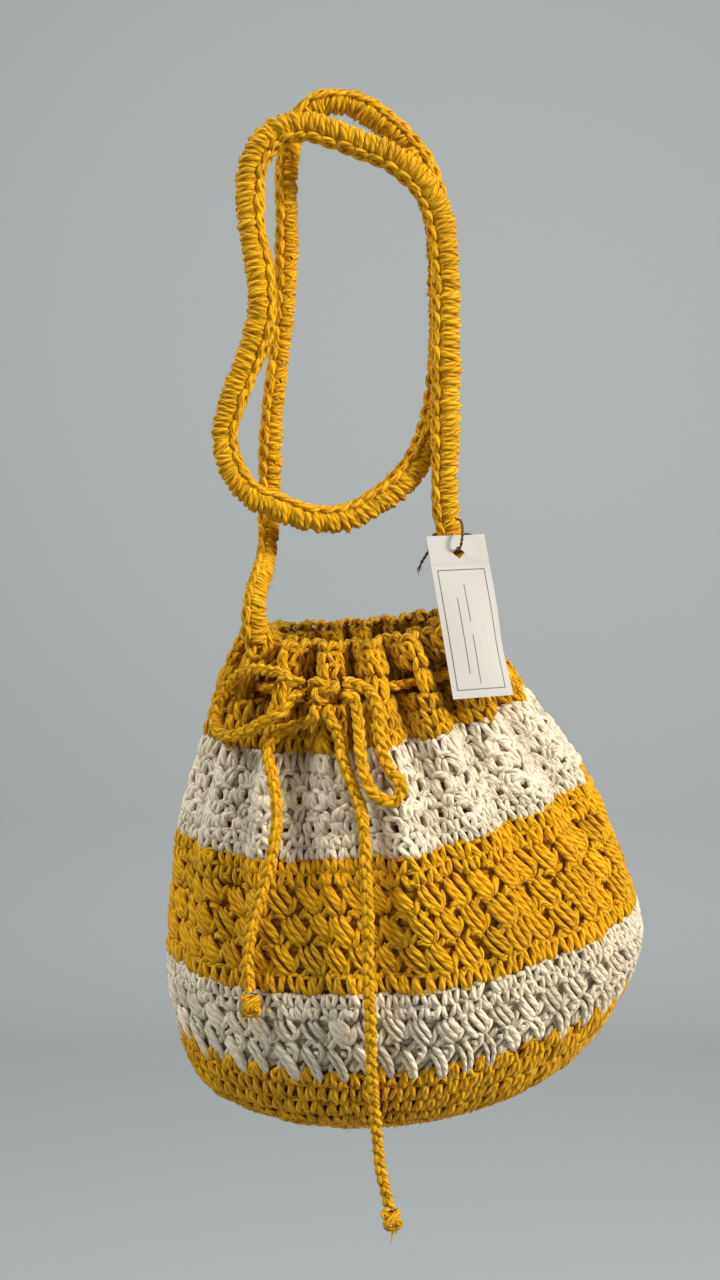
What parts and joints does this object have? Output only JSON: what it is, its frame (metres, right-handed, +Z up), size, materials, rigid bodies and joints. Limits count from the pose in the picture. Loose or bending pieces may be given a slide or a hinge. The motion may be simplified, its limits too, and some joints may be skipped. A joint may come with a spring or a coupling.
{
  "type": "crocheted drawstring bag",
  "caption": "Crocheted cotton drawstring bag in mustard and cream stripes with a gathered neck, long crocheted strap, tied bow and blank paper tag",
  "frame": {"origin": "the place at the top of the strap where the hanging bag is carried", "axes": "+Z up, -Y to the front where the bow is tied, +X to the right as seen from the front, the tag's side"},
  "size_m": [0.1873, 0.1253, 0.422],
  "materials": {
    "mustard_cotton": "matt twisted cotton yarn",
    "cream_cotton": "matt twisted cotton yarn",
    "tag_paper": null,
    "brown_twine": "rough twisted twine"
  },
  "bodies": {
    "bag": {"base_yellow": "mustard_cotton", "band_cream_lower": "cream_cotton", "band_yellow_middle": "mustard_cotton", "band_cream_upper": "cream_cotton", "neck_yellow": "mustard_cotton", "strap": "mustard_cotton", "drawstring": "mustard_cotton", "bow_knot": "mustard_cotton", "bow_loop_left": "mustard_cotton", "bow_loop_right": "mustard_cotton", "tail_left": "mustard_cotton", "tail_right": "mustard_cotton", "end_knot_left": "mustard_cotton", "end_knot_right": "mustard_cotton", "tag_string": "brown_twine"},
    "tag_card": {"tag": "tag_paper"}
  },
  "joints": [
    {"name": "tag_swing", "type": "hinge", "parent": "bag", "child": "tag_card", "pos_m": [0.042, -0.0195, -0.1612], "axis": [0.2364, -0.8824, 0.4067], "range_deg": [-15, 35]}
  ]
}
